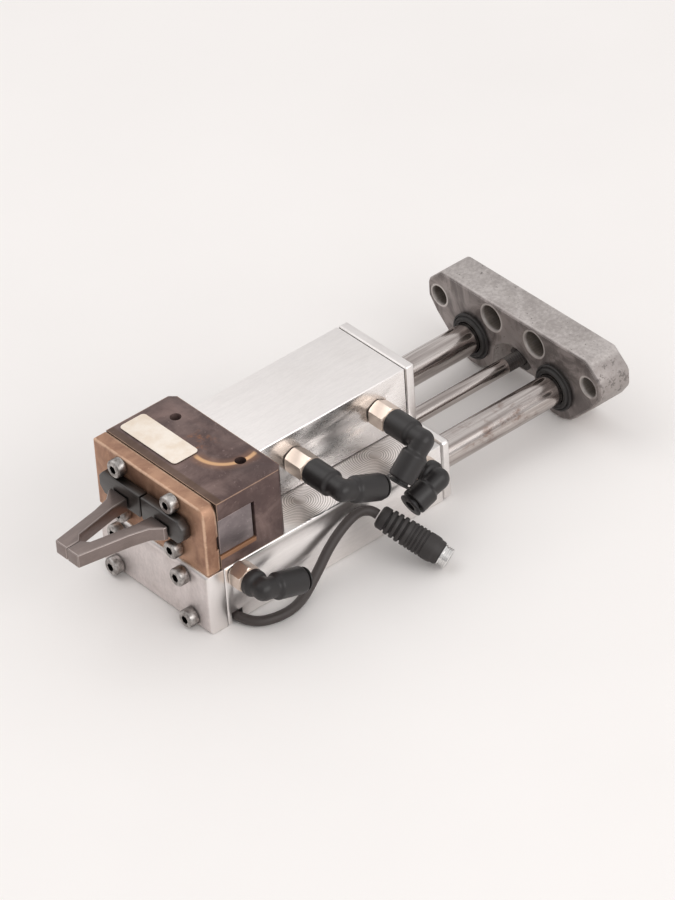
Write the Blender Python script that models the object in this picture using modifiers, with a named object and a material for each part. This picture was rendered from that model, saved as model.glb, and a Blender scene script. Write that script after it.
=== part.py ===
"""Pneumatic parallel gripper on a guided stroke unit, at rest: stroke out, fingers closed.

X runs along the stroke from the fingers to the yoke, Y across the fingers, Z up.
The origin is the middle of the lower block's underside, which is the resting face.
Sizes are in millimetres and are scaled by MM where a mesh is made.
"""

import math

import bmesh
import bpy
from mathutils import Matrix, Vector

MM = 0.001
GAP = 0.3  # clearance between pieces that touch or slide

# Lower block: the guided stroke cylinder
BODY_W = 60.0
BODY_H = 25.0
BODY_X0, BODY_X1 = -48.1, 52.0
FRONT_COVER_X = -56.0
REAR_COVER_X = 56.2
GUIDE_Y = 22.4
ROD_Z = 14.0
GUIDE_R = 6.0
GUIDE_BORE_R = 7.1
PISTON_ROD_R = 3.0
STROKE_BORE_R = 8.0
PORT_Z = 20.7

# Upper block: the cylinder that drives the jaws
UPPER_X0, UPPER_X1 = -18.4, 51.6
UPPER_Y0, UPPER_Y1 = -12.9, 23.5
UPPER_TOP = 49.7
UPPER_CAP_X = 56.0
JAW_BORE_R = 7.0
JAW_BORE_Z = 40.5
UPPER_PORT_Z = 38.4

# Gripper head
HEAD_TOP = 53.7
HEAD_Z0 = BODY_H + GAP
PLATE_X0, PLATE_X1 = -55.2, -49.4
HOUSING_X0, HOUSING_X1 = -49.1, -18.8
HOUSING_BEVEL = 2.3
COVER_X0, COVER_X1 = -48.7, -33.6
COVER_Z0, COVER_Z1 = 31.4, 46.2
JAW_Z = 41.7
JAW_HALF = 4.8
JAW_TRAVEL = 5.0
WEDGE_RATIO = 2.0  # wedge travel for each jaw's travel

# Fingers
FINGER_TOP = 42.2
FINGER_T = 5.5
FINGER_TIP_X = -92.0
FINGER_BASE_X = -59.7

# Yoke
YOKE_X0, YOKE_X1 = 113.6, 128.4
YOKE_TOP = 34.2
YOKE_HALF = 46.6
POCKET_DEPTH = 7.0
STROKE = 50.0

# Cap screws, M4
SCREW_R = 2.0
SCREW_HOLE_R = 2.3
HEAD_R = 3.5
HEAD_L = 4.0

# Sensor, cable and connector
CABLE_R = 1.85
SENSOR_X = -44.0
PLUG_REAR = Vector((16.6, -36.6, 16.6))
PLUG_TIP = Vector((26.6, -57.5, 5.4))


# ---------------------------------------------------------------- scene and materials

def clear_scene():
    for obj in list(bpy.data.objects):
        bpy.data.objects.remove(obj, do_unlink=True)


def collection(name, helper=False):
    made = bpy.data.collections.new(name)
    bpy.context.scene.collection.children.link(made)
    made.hide_render = helper
    return made


def material(name, rgb, metallic, roughness):
    made = bpy.data.materials.new(name)
    made.use_nodes = True
    shader = made.node_tree.nodes["Principled BSDF"]
    shader.inputs["Base Color"].default_value = (*rgb, 1.0)
    shader.inputs["Metallic"].default_value = metallic
    shader.inputs["Roughness"].default_value = roughness
    made.diffuse_color = (*rgb, 1.0)
    return made


clear_scene()
MODEL = collection("pneumatic_gripper")
CUTTERS = collection("cutters", helper=True)

ALUMINIUM = material("bare_aluminium", (0.78, 0.77, 0.76), 1.0, 0.35)
CAST = material("cast_aluminium", (0.52, 0.51, 0.50), 0.9, 0.6)
BRONZE_DARK = material("aged_bronze_anodising", (0.20, 0.13, 0.12), 0.8, 0.45)
BRONZE = material("bright_bronze_anodising", (0.62, 0.36, 0.22), 0.9, 0.4)
STEEL = material("ground_steel", (0.55, 0.54, 0.53), 1.0, 0.25)
TOOL_STEEL = material("blackened_tool_steel", (0.20, 0.20, 0.21), 0.9, 0.45)
FINGER_STEEL = material("milled_finger_steel", (0.42, 0.39, 0.38), 1.0, 0.4)
ZINC = material("zinc_plated_steel", (0.62, 0.62, 0.60), 1.0, 0.35)
NICKEL = material("nickelled_brass", (0.72, 0.68, 0.60), 1.0, 0.3)
BRASS = material("bearing_bronze", (0.55, 0.38, 0.18), 1.0, 0.4)
PLASTIC = material("black_plastic", (0.03, 0.03, 0.035), 0.0, 0.4)
RUBBER = material("black_rubber", (0.02, 0.02, 0.02), 0.0, 0.7)
PAPER = material("label_paper", (0.88, 0.84, 0.76), 0.0, 0.7)
CONTACT = material("gold_contact", (0.80, 0.62, 0.25), 1.0, 0.3)


# ---------------------------------------------------------------- building blocks

def add(name, mesh, at, mat, home):
    obj = bpy.data.objects.new(name, mesh)
    obj.location = Vector(at) * MM
    home.objects.link(obj)
    if mat:
        mesh.materials.append(mat)
    if home == CUTTERS:
        obj.display_type = "WIRE"
        obj.hide_render = True
    return obj


def mesh_of(bm, name):
    bmesh.ops.recalc_face_normals(bm, faces=bm.faces)
    mesh = bpy.data.meshes.new(name)
    bm.to_mesh(mesh)
    bm.free()
    return mesh


def box(name, low, high, mat=None, home=None, at=(0, 0, 0)):
    """A block between two corners, its origin at `at`."""
    low, high, at = Vector(low), Vector(high), Vector(at)
    bm = bmesh.new()
    bmesh.ops.create_cube(bm, size=1.0)
    bmesh.ops.scale(bm, vec=(high - low) * MM, verts=bm.verts)
    bmesh.ops.translate(bm, vec=((low + high) / 2 - at) * MM, verts=bm.verts)
    return add(name, mesh_of(bm, name), at, mat, home or MODEL)


def outline(name, points, low, high, axis, mat=None, home=None, at=(0, 0, 0)):
    """A flat outline pushed from low to high along an axis. Points are (Y, Z) for X and (X, Y) for Z."""
    at = Vector(at)
    bm = bmesh.new()
    verts = []
    for first, second in points:
        place = Vector((low, first, second)) if axis == "X" else Vector((first, second, low))
        verts.append(bm.verts.new((place - at) * MM))
    face = bm.faces.new(verts)
    pushed = bmesh.ops.extrude_face_region(bm, geom=[face])
    step = Vector((high - low, 0, 0)) if axis == "X" else Vector((0, 0, high - low))
    moved = [v for v in pushed["geom"] if isinstance(v, bmesh.types.BMVert)]
    bmesh.ops.translate(bm, vec=step * MM, verts=moved)
    return add(name, mesh_of(bm, name), at, mat, home or MODEL)


def turn_to(direction):
    return Vector((0, 0, 1)).rotation_difference(Vector(direction).normalized()).to_matrix().to_4x4()


def rods(name, radius, spans, sides=24, mat=None, home=None, at=(0, 0, 0)):
    """Solid cylinders, one for each (start, end) pair of points."""
    at = Vector(at)
    bm = bmesh.new()
    for start, end in spans:
        start, end = Vector(start), Vector(end)
        place = Matrix.Translation(((start + end) / 2 - at) * MM) @ turn_to(end - start)
        bmesh.ops.create_cone(bm, cap_ends=True, segments=sides, radius1=radius * MM,
                              radius2=radius * MM, depth=(end - start).length * MM, matrix=place)
    return add(name, mesh_of(bm, name), at, mat, home or MODEL)


def lathe(name, profile, at, axis, mat=None, sides=24, closed=False, home=None, origin=None):
    """A turned piece: (radius, height) pairs run from top to bottom on the outside, along the axis from `at`."""
    mesh = bpy.data.meshes.new(name)
    verts = [(r * MM, 0.0, z * MM) for r, z in profile]
    edges = [(i, i + 1) for i in range(len(verts) - 1)]
    if closed:
        edges.append((len(verts) - 1, 0))
    mesh.from_pydata(verts, edges, [])
    obj = bpy.data.objects.new(name, mesh)
    (home or MODEL).objects.link(obj)
    if mat:
        mesh.materials.append(mat)
    screw = obj.modifiers.new("Turn", "SCREW")
    screw.steps = sides
    screw.render_steps = sides
    screw.use_merge_vertices = True
    screw.merge_threshold = 0.00002
    bake(obj)
    origin = Vector(at if origin is None else origin)
    obj.data.transform(Matrix.Translation((Vector(at) - origin) * MM) @ turn_to(axis))
    obj.location = origin * MM
    if home == CUTTERS:
        obj.display_type = "WIRE"
        obj.hide_render = True
    return obj


def chamfer(obj, width, segments=1, angle=40):
    bevel = obj.modifiers.new("Edges", "BEVEL")
    bevel.width = width * MM
    bevel.segments = segments
    bevel.limit_method = "ANGLE"
    bevel.angle_limit = math.radians(angle)
    return obj


def cut(obj, *cutters):
    for cutter in cutters:
        boolean = obj.modifiers.new("Cut " + cutter.name, "BOOLEAN")
        boolean.operation = "DIFFERENCE"
        boolean.solver = "EXACT"
        boolean.object = cutter
    return obj


def join(obj, *others):
    for other in others:
        boolean = obj.modifiers.new("Join " + other.name, "BOOLEAN")
        boolean.operation = "UNION"
        boolean.solver = "EXACT"
        boolean.object = other
    return obj


def holes(name, radius, spans, sides=20):
    return rods(name, radius, spans, sides, home=CUTTERS)


def bake(obj):
    """Turns the modifiers into plain mesh, with smooth round faces and sharp edges."""
    bpy.context.view_layer.update()
    graph = bpy.context.evaluated_depsgraph_get()
    mesh = bpy.data.meshes.new_from_object(obj.evaluated_get(graph))
    obj.modifiers.clear()
    obj.data = mesh
    bm = bmesh.new()
    bm.from_mesh(mesh)
    bmesh.ops.remove_doubles(bm, verts=bm.verts, dist=0.000002)
    bmesh.ops.recalc_face_normals(bm, faces=bm.faces)
    bm.to_mesh(mesh)
    bm.free()
    mesh.shade_smooth()
    mesh.set_sharp_from_angle(angle=math.radians(32))
    return obj


def attach(child, parent):
    child.parent = parent
    child.matrix_parent_inverse = parent.matrix_world.inverted()


# ---------------------------------------------------------------- stroke unit body

FRONT_SCREWS = [(-17.3, 20.6, 14.0), (17.3, 20.6, 14.0), (-20.6, 4.0, 9.0), (20.6, 4.0, 9.0)]  # y, z, shank
HEAD_SCREWS = [(-14.3, 50.2), (14.3, 50.2), (-14.3, 30.6), (14.3, 30.6)]
LOWER_PORTS = (-42.2, 41.8)
UPPER_PORTS = (-0.8, 38.0)


def stroke_body():
    body = box("stroke_body", (BODY_X0, -BODY_W / 2, 0), (BODY_X1, BODY_W / 2, BODY_H), ALUMINIUM)
    chamfer(body, 0.4)
    guide = [((BODY_X0 - 1, y, ROD_Z), (BODY_X1 + 1, y, ROD_Z)) for y in (-GUIDE_Y, GUIDE_Y)]
    centre = [((BODY_X0 - 1, 0, ROD_Z), (BODY_X1 + 1, 0, ROD_Z))]
    ports = [((x, -BODY_W / 2 - 1, PORT_Z), (x, -BODY_W / 2 + 2.2, PORT_Z)) for x in LOWER_PORTS]
    screws = [((BODY_X0 - 1, y, z), (FRONT_COVER_X + shank + GAP, y, z)) for y, z, shank in FRONT_SCREWS]
    groove = box("groove_cutter", (SENSOR_X - 2.4, -BODY_W / 2 - 1, -1), (SENSOR_X + 2.4, -4, 4.7), home=CUTTERS)
    cut(body, holes("guide_bores", GUIDE_BORE_R, guide, 32), holes("stroke_bore", STROKE_BORE_R, centre, 28),
        holes("lower_ports", 2.5, ports), holes("front_screw_threads", SCREW_HOLE_R, screws, 16), groove)
    return bake(body)


def front_cover():
    cover = box("front_cover", (FRONT_COVER_X, -BODY_W / 2, 0), (BODY_X0 - GAP, BODY_W / 2, BODY_H), ALUMINIUM)
    bm = bmesh.new()
    bm.from_mesh(cover.data)
    front = [e for e in bm.edges if all(v.co.x < (FRONT_COVER_X + 1) * MM for v in e.verts)]
    bmesh.ops.bevel(bm, geom=front, offset=1.8 * MM, segments=3, profile=0.5, affect="EDGES")
    bm.to_mesh(cover.data)
    bm.free()
    screws = [((FRONT_COVER_X - 1, y, z), (BODY_X0 + 1, y, z)) for y, z, _ in FRONT_SCREWS]
    cut(cover, holes("front_cover_holes", SCREW_HOLE_R, screws, 16))
    return bake(cover)


def rear_cover():
    cover = box("rear_cover", (BODY_X1 + GAP, -BODY_W / 2, 0), (REAR_COVER_X, BODY_W / 2, BODY_H), ALUMINIUM)
    chamfer(cover, 0.8)
    guide = [((BODY_X1 - 1, y, ROD_Z), (REAR_COVER_X + 1, y, ROD_Z)) for y in (-GUIDE_Y, GUIDE_Y)]
    centre = [((BODY_X1 - 1, 0, ROD_Z), (REAR_COVER_X + 1, 0, ROD_Z))]
    cut(cover, holes("rear_guide_holes", GUIDE_R + 0.5, guide, 32), holes("rear_rod_hole", PISTON_ROD_R + 0.5, centre))
    return bake(cover)


def ring(name, at, axis, inner, outer, length, mat, sides=24, edge=0.3):
    """A turned ring with its outer edges broken."""
    profile = [(inner, length), (outer - edge, length), (outer, length - edge), (outer, edge),
               (outer - edge, 0), (inner, 0)]
    return lathe(name, profile, at, axis, mat, sides, closed=True)


def cap_screw(name, at, axis, shank=10.0):
    """An M4 socket cap screw whose head stands on `at`, with its shank against the axis."""
    head = lathe(name, [(0, HEAD_L), (HEAD_R - 0.4, HEAD_L), (HEAD_R, HEAD_L - 0.4), (HEAD_R, GAP),
                        (SCREW_R, GAP), (SCREW_R, -shank), (0, -shank)], at, axis, ZINC, 20)
    top = Vector(at) + Vector(axis) * (HEAD_L + 1)
    bottom = Vector(at) + Vector(axis) * (HEAD_L - 2.2)
    socket = rods(name + "_socket", 1.7, [(bottom, top)], 6, home=CUTTERS)
    return bake(cut(head, socket))


def stroke_unit_trim():
    for side, y in (("right", -GUIDE_Y), ("left", GUIDE_Y)):
        ring("guide_bush_" + side, (16, y, ROD_Z), (1, 0, 0), GUIDE_R + GAP, GUIDE_BORE_R - GAP, 35, BRASS, 32, 0.1)
    ring("rod_gland", (46.2, 0, ROD_Z), (1, 0, 0), PISTON_ROD_R + GAP, STROKE_BORE_R - GAP, 5.5, BRASS, 28)
    for number, (y, z, shank) in enumerate(FRONT_SCREWS, 1):
        cap_screw("front_screw_%d" % number, (FRONT_COVER_X, y, z), (-1, 0, 0), shank)


# ---------------------------------------------------------------- upper cylinder

def upper_body():
    body = box("jaw_cylinder", (UPPER_X0, UPPER_Y0, BODY_H + GAP), (UPPER_X1, UPPER_Y1, UPPER_TOP), ALUMINIUM)
    chamfer(body, 0.4)
    bore = holes("jaw_bore", JAW_BORE_R, [((-9, 0, JAW_BORE_Z), (UPPER_X1 + 1, 0, JAW_BORE_Z))], 28)
    rod_hole = holes("jaw_rod_hole", 3.3, [((UPPER_X0 - 1, 0, JAW_BORE_Z), (-8, 0, JAW_BORE_Z))])
    ports = [((x, UPPER_Y0 - 1, UPPER_PORT_Z), (x, UPPER_Y0 + 9, UPPER_PORT_Z)) for x in UPPER_PORTS]
    cut(body, bore, rod_hole, holes("upper_ports", 2.5, ports))
    return bake(body)


def upper_cap():
    cap = box("jaw_cylinder_cap", (UPPER_X1 + GAP, UPPER_Y0, BODY_H + GAP), (UPPER_CAP_X, UPPER_Y1, UPPER_TOP), ALUMINIUM)
    return bake(chamfer(cap, 0.5))


# ---------------------------------------------------------------- gripper head

def gripper_plate():
    """The bright front plate, with one top corner rounded and two slots that the jaws' necks slide in."""
    half = BODY_W / 2
    round_y, round_z = 3.2, 5.0
    points = [(-half, HEAD_Z0), (half, HEAD_Z0), (half, HEAD_TOP)]
    for turn in range(5, -1, -1):
        angle = math.radians(18 * turn)
        points.append((round_y * (1 - math.cos(angle)) - half, HEAD_TOP - round_z * (1 - math.sin(angle))))
    plate = outline("gripper_plate", points, PLATE_X0, PLATE_X1, "X", BRONZE)
    chamfer(plate, 0.5, angle=60)
    slots = [box("plate_slot_%d" % side, (PLATE_X0 - 1, min(3.6 * side, 19.8 * side), JAW_Z - 2.2),
                 (PLATE_X1 + 1, max(3.6 * side, 19.8 * side), JAW_Z + 2.2), home=CUTTERS) for side in (-1, 1)]
    screws = [((PLATE_X0 - 1, y, z), (PLATE_X1 + 1, y, z)) for y, z in HEAD_SCREWS]
    slit = box("side_slit", (-50.6, -half - 1, 34.3), (PLATE_X1 + 1, -half + 1.2, 40.0), home=CUTTERS)
    cut(plate, holes("plate_screw_holes", SCREW_HOLE_R, screws, 16), slit, *slots)
    return bake(plate)


def gripper_housing():
    half = BODY_W / 2
    housing = box("gripper_housing", (HOUSING_X0, -half, HEAD_Z0), (HOUSING_X1, half, HEAD_TOP), BRONZE_DARK)
    bm = bmesh.new()
    bm.from_mesh(housing.data)
    rear = [e for e in bm.edges if all(v.co.x > (HOUSING_X1 - 1) * MM for v in e.verts)
            and abs(e.verts[0].co.y - e.verts[1].co.y) < MM]
    bmesh.ops.bevel(bm, geom=rear, offset=HOUSING_BEVEL * MM, segments=1, affect="EDGES")
    bm.to_mesh(housing.data)
    bm.free()
    chamber = box("jaw_chamber", (HOUSING_X0 - 1, -22.5, 36.9), (-27.0, 22.5, 46.6), home=CUTTERS)
    wedge_way = box("wedge_way", (-28.0, -10.2, 37.0), (-22.0, 10.2, 44.2), home=CUTTERS)
    rod_hole = holes("housing_rod_hole", 3.3, [((-24, 0, JAW_BORE_Z), (HOUSING_X1 + 1, 0, JAW_BORE_Z))])
    screws = [((HOUSING_X0 - 1, y, z), (HOUSING_X0 + 8, y, z)) for y, z in HEAD_SCREWS]
    recess = box("cover_recess", (COVER_X0 - 0.7, -half - 1, COVER_Z0 - GAP),
                 (COVER_X1 + 0.9, -half + 2.6, COVER_Z1 + GAP), home=CUTTERS)
    top = [((x, y, HEAD_TOP - 6.5), (x, y, HEAD_TOP + 1)) for x, y in ((-26.9, 18.8), (-26.9, -16.6))]
    cut(housing, chamber, wedge_way, rod_hole, recess, holes("head_threads", SCREW_HOLE_R, screws, 16),
        holes("top_threads", 2.1, top))
    return bake(housing)


def gripper_side_cover():
    half = BODY_W / 2
    cover = box("gripper_side_cover", (COVER_X0, -half + 0.4, COVER_Z0), (COVER_X1, -half + 2.2, COVER_Z1), TOOL_STEEL)
    return bake(chamfer(cover, 0.25))


def label():
    tag = box("blank_label", (-45.0, -2.6, HEAD_TOP + 0.25), (-33.7, 28.0, HEAD_TOP + 0.5), PAPER)
    bm = bmesh.new()
    bm.from_mesh(tag.data)
    corners = [e for e in bm.edges if abs(e.verts[0].co.z - e.verts[1].co.z) > 0.1 * MM]
    bmesh.ops.bevel(bm, geom=corners, offset=1.6 * MM, segments=4, profile=0.5, affect="EDGES")
    bm.to_mesh(tag.data)
    bm.free()
    return bake(tag)


# ---------------------------------------------------------------- jaws and fingers

def jaw(side):
    """A jaw carrier that rides on the front plate, with its neck and its wedge foot behind the plate."""
    name = "jaw_" + ("left" if side > 0 else "right")
    inner, outer = 0.4, 22.8
    low, high = JAW_Z - JAW_HALF, JAW_Z + JAW_HALF
    cut_y, cut_z = 2.6, 2.8
    face = [(inner, low), (outer - cut_y, low), (outer, low + cut_z), (outer, high - cut_z),
            (outer - cut_y, high), (inner, high)]
    face = [(y * side, z) for y, z in face]
    at = (PLATE_X0 - 2, 11.5 * side, JAW_Z)
    carrier = outline(name, face, FINGER_BASE_X + GAP, PLATE_X0 - GAP, "X", TOOL_STEEL, at=at)
    chamfer(carrier, 0.35)
    near, far = sorted((4.0 * side, 14.4 * side))
    neck = box(name + "_neck", (PLATE_X0 - 1.5, near, JAW_Z - 1.9), (HOUSING_X0 + 2, far, JAW_Z + 1.9), home=CUTTERS)
    slope = 1 / WEDGE_RATIO
    foot_front, foot_rear, wedge_front = HOUSING_X0 + GAP, -29.4, -38.6
    inner_front = 0.5
    inner_rear = 2.3 + slope * (foot_rear - wedge_front)
    turn_x = wedge_front - (2.3 - inner_front) / slope
    foot = [(foot_front, inner_front), (turn_x, inner_front), (foot_rear, inner_rear),
            (foot_rear, 16.9), (foot_front, 16.9)]
    foot = outline(name + "_foot", [(x, y * side) for x, y in foot], JAW_Z - 4.4, JAW_Z + 4.4, "Z", home=CUTTERS)
    return bake(join(carrier, neck, foot))


def finger(side):
    """A flat finger that narrows from its jaw to a tip, which meets the other finger on the centre line."""
    name = "finger_" + ("left" if side > 0 else "right")
    base = FINGER_BASE_X
    tip = FINGER_TIP_X
    outer = [(base, 15.6), (base - 1.6, 15.2), (base - 5.2, 11.9), (base - 12.0, 9.9), (base - 22.0, 8.1), (tip, 6.2)]
    inner = [(tip, 0.15), (tip + 6.0, 0.15), (tip + 8.2, 2.9), (base - 7.0, 6.3), (base, 6.7)]
    points = [(x, y * side) for x, y in outer + inner]
    made = outline(name, points, FINGER_TOP - FINGER_T, FINGER_TOP, "Z", FINGER_STEEL, at=(base, 11 * side, JAW_Z))
    return bake(chamfer(made, 0.3, angle=30))


def wedge():
    """The wedge that spreads the jaws, on the rod of the jaw piston."""
    slope = 1 / WEDGE_RATIO
    front, rear = -38.6, -24.6
    width = 2.0
    points = [(front, width), (rear, width + slope * (rear - front)), (rear, -width - slope * (rear - front)),
              (front, -width)]
    made = outline("jaw_wedge", points, JAW_BORE_Z - 3.2, JAW_BORE_Z + 3.2, "Z", STEEL, at=(rear, 0, JAW_BORE_Z))
    rod = rods("jaw_wedge_rod", 3.0, [((-26, 0, JAW_BORE_Z), (1.6, 0, JAW_BORE_Z))], 32, home=CUTTERS)
    return bake(join(made, rod))


def piston(name, at, radius, length, mat):
    """A piston with a seal groove round its middle."""
    groove = radius - 1.8
    profile = [(0, length), (radius - 0.4, length), (radius, length - 0.4), (radius, length / 2 + 1.3),
               (groove, length / 2 + 1.3), (groove, length / 2 - 1.3), (radius, length / 2 - 1.3),
               (radius, 0.4), (radius - 0.4, 0), (0, 0)]
    return lathe(name, profile, at, (1, 0, 0), mat, 28)


def seal(name, at, radius, mat=RUBBER):
    return ring(name, at, (1, 0, 0), radius - 1.5, radius + 0.12, 2.0, mat, 28, 0.5)


# ---------------------------------------------------------------- stroke carriage

def yoke_outline():
    """Half of the yoke seen along X, from the middle of the top to the middle of the underside."""
    boss_r = 13.7
    half = [(0, YOKE_TOP), (39.0, YOKE_TOP), (YOKE_HALF - 1, 28.2), (YOKE_HALF, 26.5), (YOKE_HALF, 20.5), (42.6, 14.8)]
    for turn in range(-40, -141, -20):
        angle = math.radians(turn)
        half.append((GUIDE_Y + boss_r * math.cos(angle), ROD_Z + boss_r * math.sin(angle)))
    half += [(10.6, 10.0), (9.6, 4.6), (0, 4.6)]
    return half


def yoke():
    half = yoke_outline()
    points = half + [(-y, z) for y, z in reversed(half[1:-1])]
    made = outline("yoke", points, YOKE_X0, YOKE_X1, "X", CAST, at=(YOKE_X0, 0, ROD_Z))
    chamfer(made, 0.8, 1, angle=25)
    pocket = [(-10.9, -2), (-11.6, 9.0)]
    for turn in range(160, 19, -20):
        angle = math.radians(turn)
        pocket.append((11.6 * math.cos(angle), 10.2 + 10.2 * math.sin(angle)))
    pocket += [(11.6, 9.0), (10.9, -2)]
    pocket = outline("yoke_pocket", pocket, YOKE_X0 - 1, YOKE_X0 + POCKET_DEPTH, "X", home=CUTTERS)
    rod_seats = [((YOKE_X0 - 1, y, ROD_Z), (YOKE_X1 - 3, y, ROD_Z)) for y in (-GUIDE_Y, GUIDE_Y)]
    piston_seat = [((YOKE_X0, 0, ROD_Z), (YOKE_X1 + 1, 0, ROD_Z))]
    ends = [((YOKE_X0 - 1, y, 23.0), (YOKE_X1 + 1, y, 23.0)) for y in (-40.2, 40.2)]
    wide = [((YOKE_X0 - 1, y, 27.3), (YOKE_X0 + 9, y, 27.3)) for y in (-11.5, 11.5)]
    through = [((YOKE_X0, y, 27.3), (YOKE_X1 + 1, y, 27.3)) for y in (-11.5, 11.5)]
    cut(made, pocket, holes("rod_seats", GUIDE_R + GAP, rod_seats, 32),
        holes("piston_rod_seat", PISTON_ROD_R + GAP, piston_seat), holes("end_holes", 4.0, ends, 28),
        holes("wide_holes", 5.2, wide, 32), holes("through_holes", 3.3, through, 28))
    return bake(made)


def guide_rod(name, y):
    length = YOKE_X1 - 3.4 - 12.0
    profile = [(0, length), (GUIDE_R - 0.6, length), (GUIDE_R, length - 0.6), (GUIDE_R, 0.6), (GUIDE_R - 0.6, 0), (0, 0)]
    return lathe(name, profile, (12.0, y, ROD_Z), (1, 0, 0), STEEL, 32)


def piston_rod():
    """The rod's rear end is turned down and threaded where it enters the yoke."""
    start, thread_start, end = 30.0, 110.0, YOKE_X1 - 1.0
    length = end - start
    thread = thread_start - start
    profile = [(0, length), (PISTON_ROD_R - 0.5, length), (PISTON_ROD_R, length - 0.5)]
    pitch = 2.0
    turns = int((length - thread - 1.5) / pitch)
    for turn in range(turns):
        z = length - 1.0 - turn * pitch
        profile += [(PISTON_ROD_R, z), (PISTON_ROD_R - 0.35, z - pitch / 2)]
    profile += [(PISTON_ROD_R, thread), (PISTON_ROD_R, 9.0), (2.4, 9.0), (2.4, 0), (0, 0)]
    return lathe("piston_rod", profile, (start, 0, ROD_Z), (1, 0, 0), STEEL, 20)


def hex_nut(name, at, axis, flats, thickness, hole):
    nut = rods(name, flats / math.sqrt(3), [(at, Vector(at) + Vector(axis) * thickness)], 6, ZINC)
    chamfer(nut, 0.3)
    bore = holes(name + "_bore", hole, [(Vector(at) - Vector(axis), Vector(at) + Vector(axis) * (thickness + 1))], 24)
    return bake(cut(nut, bore))


def carriage():
    frame = yoke()
    rest = [guide_rod("guide_rod_right", -GUIDE_Y), guide_rod("guide_rod_left", GUIDE_Y), piston_rod()]
    stroke_piston = piston("stroke_piston", (28.0, 0, ROD_Z), STROKE_BORE_R - GAP, 10.0, ALUMINIUM)
    seat = holes("stroke_piston_seat", 2.7, [((29.4, 0, ROD_Z), (39, 0, ROD_Z))])
    rest.append(bake(cut(stroke_piston, seat)))
    rest.append(seal("stroke_piston_seal", (32.0, 0, ROD_Z), STROKE_BORE_R - GAP))
    rest.append(hex_nut("rod_lock_nut", (YOKE_X0 + POCKET_DEPTH - 3.7, 0, ROD_Z), (1, 0, 0), 10.0, 3.2, PISTON_ROD_R + GAP))
    for side, y in (("right", -GUIDE_Y), ("left", GUIDE_Y)):
        rest.append(ring("rod_bumper_" + side, (YOKE_X0 - 3.4, y, ROD_Z), (1, 0, 0), GUIDE_R + GAP, 9.6, 3.1, RUBBER, 28, 0.6))
    for piece in rest:
        attach(piece, frame)


# ---------------------------------------------------------------- push-in fittings

FITTING_R = 5.0
HEX_FLATS = 9.0


def fitting(name, wall, neck, arm, angle, tube_arm, stub):
    """A nickelled stem with a swivelling elbow: `neck` is the stem's length, `arm` and `tube_arm` are the elbow's."""
    wall = Vector(wall)
    out = Vector((0, -1, 0))
    along = Vector((math.cos(math.radians(angle)), 0, math.sin(math.radians(angle))))
    face = wall + out * neck
    corner = face + out * arm
    spigot = min(4.5, arm - 3.5)
    stem_parts(name, wall, out, neck, stub, spigot)
    elbow = lathe(name + "_elbow", arm_profile(arm), face + out * GAP, out, PLASTIC, origin=corner)
    branch = lathe(name + "_branch", branch_profile(tube_arm), corner, along, None, home=CUTTERS)
    bore = holes(name + "_stem_bore", 2.6, [(face - out, face + out * (spigot + GAP))])
    throat = holes(name + "_throat", 1.5, [(face + out, corner + out * 0.5)], 16)
    tube = holes(name + "_tube_bore", 2.1, [(corner - along, corner + along * (tube_arm + 1))])
    seat = holes(name + "_collet_seat", 3.5, [(corner + along * (tube_arm - 5), corner + along * (tube_arm + 1))])
    bake(cut(join(elbow, branch), bore, throat, tube, seat))
    collet = lathe(name + "_collet", [(2.1, 1.7), (4.2, 1.7), (4.2, 1.0), (3.2, 1.0), (3.2, -3.4), (2.1, -3.4)],
                   corner + along * tube_arm, along, PLASTIC, closed=True)
    attach(collet, elbow)


def stem_parts(name, wall, out, neck, stub, spigot):
    """The hexagon stands on the wall, and its spigots go into the port and into the elbow."""
    stem = rods(name + "_stem", HEX_FLATS / math.sqrt(3), [(wall + out * GAP, wall + out * (neck - 1.6))], 6, NICKEL)
    chamfer(stem, 0.5)
    collar = holes(name + "_collar", 4.9, [(wall + out * (neck - 2.4), wall + out * neck)], 24)
    inlet = holes(name + "_spigot", 2.2, [(wall - out * stub, wall + out * (neck + spigot))])
    bore = holes(name + "_bore", 1.2, [(wall - out * (stub + 1), wall + out * (neck + spigot + 1))], 12)
    return bake(cut(join(stem, collar, inlet), bore))


def arm_profile(length):
    """A barrel that ends in a ball round the corner of the elbow."""
    ball = 4.5
    corner = length - GAP
    shoulder = max(2.2, length - 5.8)
    points = [(ball * math.sin(math.radians(turn)), corner + ball * math.cos(math.radians(turn)))
              for turn in (0, 22, 45, 68, 90)]
    return points + [(ball, shoulder + 1.5), (FITTING_R, shoulder), (FITTING_R, 0.5), (FITTING_R - 0.5, 0), (0, 0)]


def branch_profile(length):
    """The tube arm: a barrel that swells from the elbow's ball to the collet."""
    return [(0, length), (FITTING_R - 0.4, length), (FITTING_R, length - 0.5), (FITTING_R, 5.9), (4.3, 4.0),
            (4.2, 0), (3.1, -2.4), (0, -3.2)]


def fittings():
    right = -BODY_W / 2
    fitting("fitting_a", (UPPER_PORTS[0], UPPER_Y0, UPPER_PORT_Z), 9.5, 16.6, -24.0, 18.2, 5.0)
    fitting("fitting_b", (UPPER_PORTS[1], UPPER_Y0, UPPER_PORT_Z), 8.2, 16.2, 225.0, 15.8, 5.0)
    fitting("fitting_c", (LOWER_PORTS[1], right, PORT_Z), 3.8, 6.0, 199.0, 12.6, 1.6)
    fitting("fitting_d", (LOWER_PORTS[0], right, PORT_Z), 6.8, 7.0, -17.0, 17.4, 1.6)


# ---------------------------------------------------------------- sensor, cable and connector

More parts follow.
